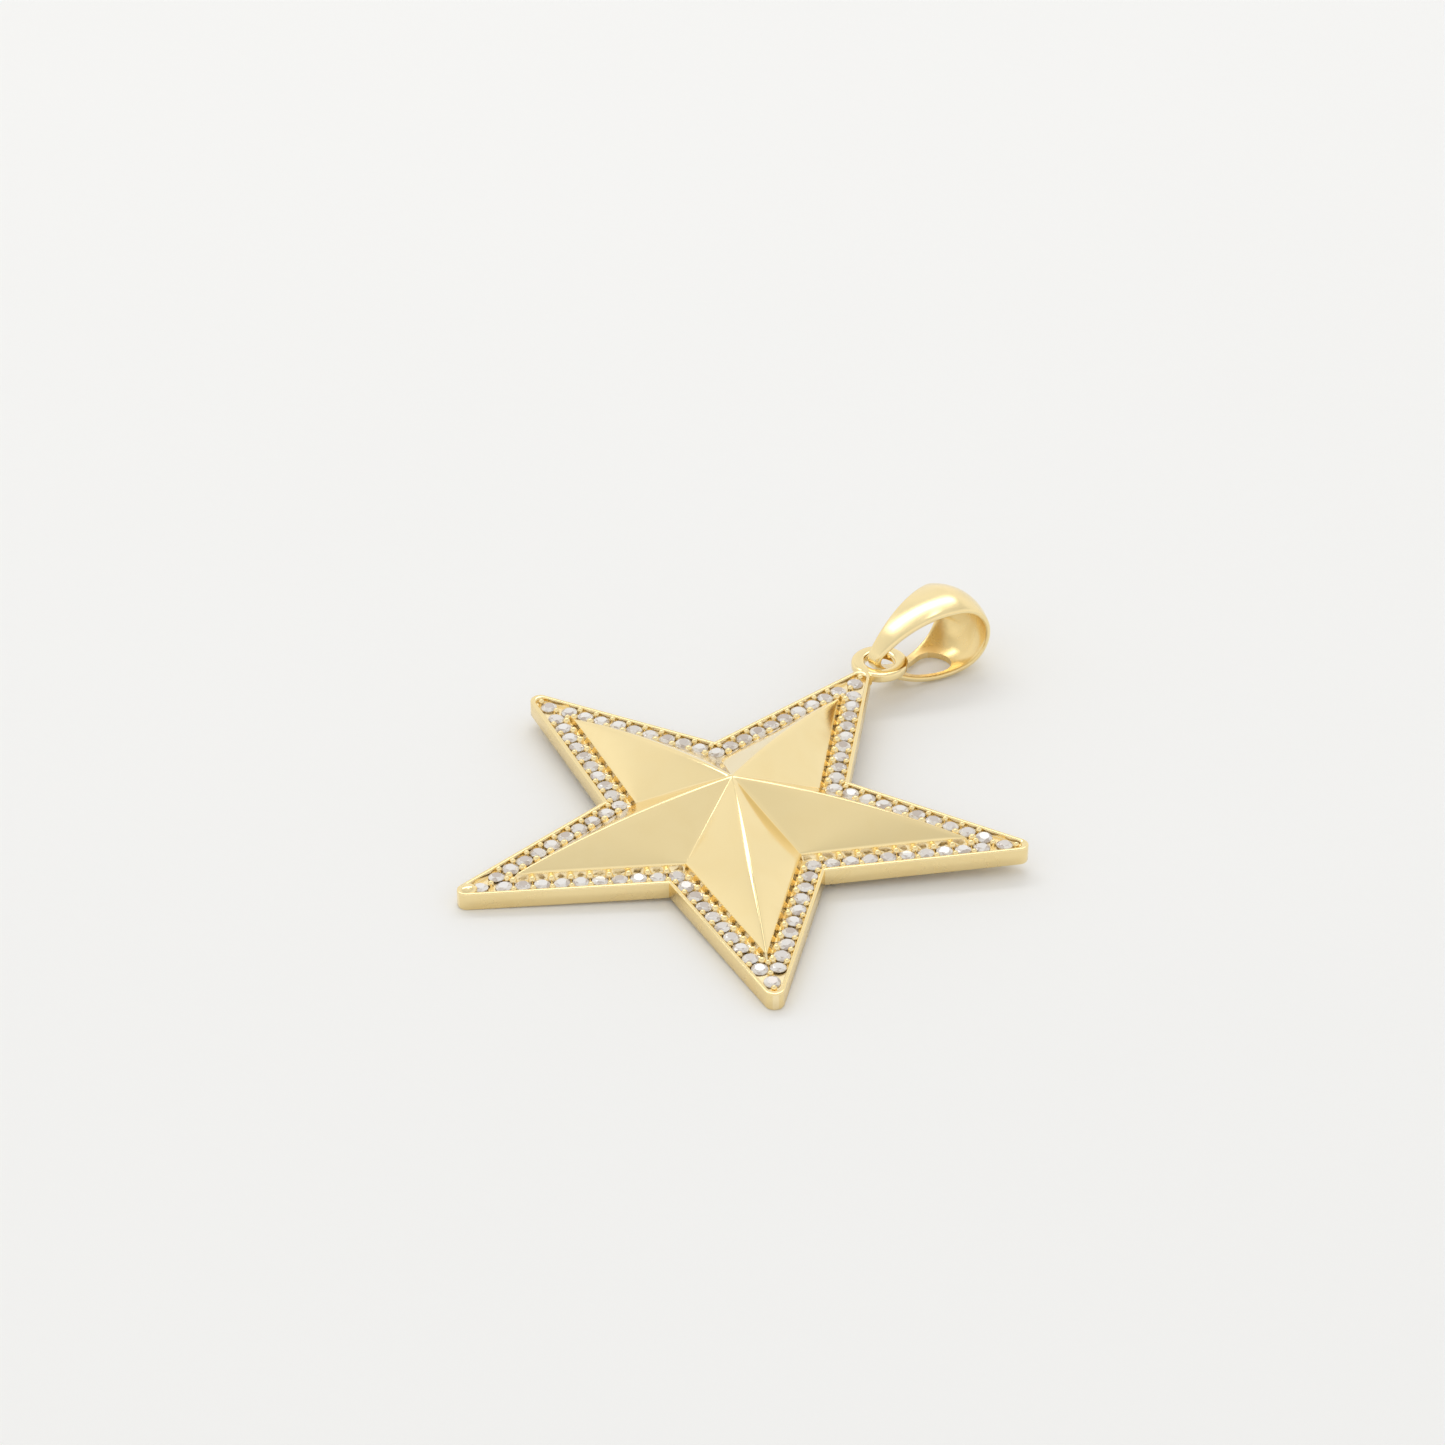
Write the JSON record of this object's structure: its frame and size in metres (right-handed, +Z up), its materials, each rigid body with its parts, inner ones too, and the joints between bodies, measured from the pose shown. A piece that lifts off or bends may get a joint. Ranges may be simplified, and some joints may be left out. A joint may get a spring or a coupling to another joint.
{
  "type": "star pendant",
  "caption": "Gold star pendant with a raised faceted centre, a pave border of round stones, and a teardrop bail hanging in its loop.",
  "frame": {"origin": "under the middle of the bounding box, on the surface that the pendant lies on", "axes": "+Z up, away from the surface; +Y from the star's centre towards the tip with the loop and bail; +X to the right, seen from above"},
  "size_m": [0.0358, 0.0438, 0.0059],
  "materials": {
    "gold": "polished",
    "stone": "polished"
  },
  "bodies": {
    "root": {"star": "gold", "bail": "gold", "stones": "stone"}
  },
  "joints": []
}
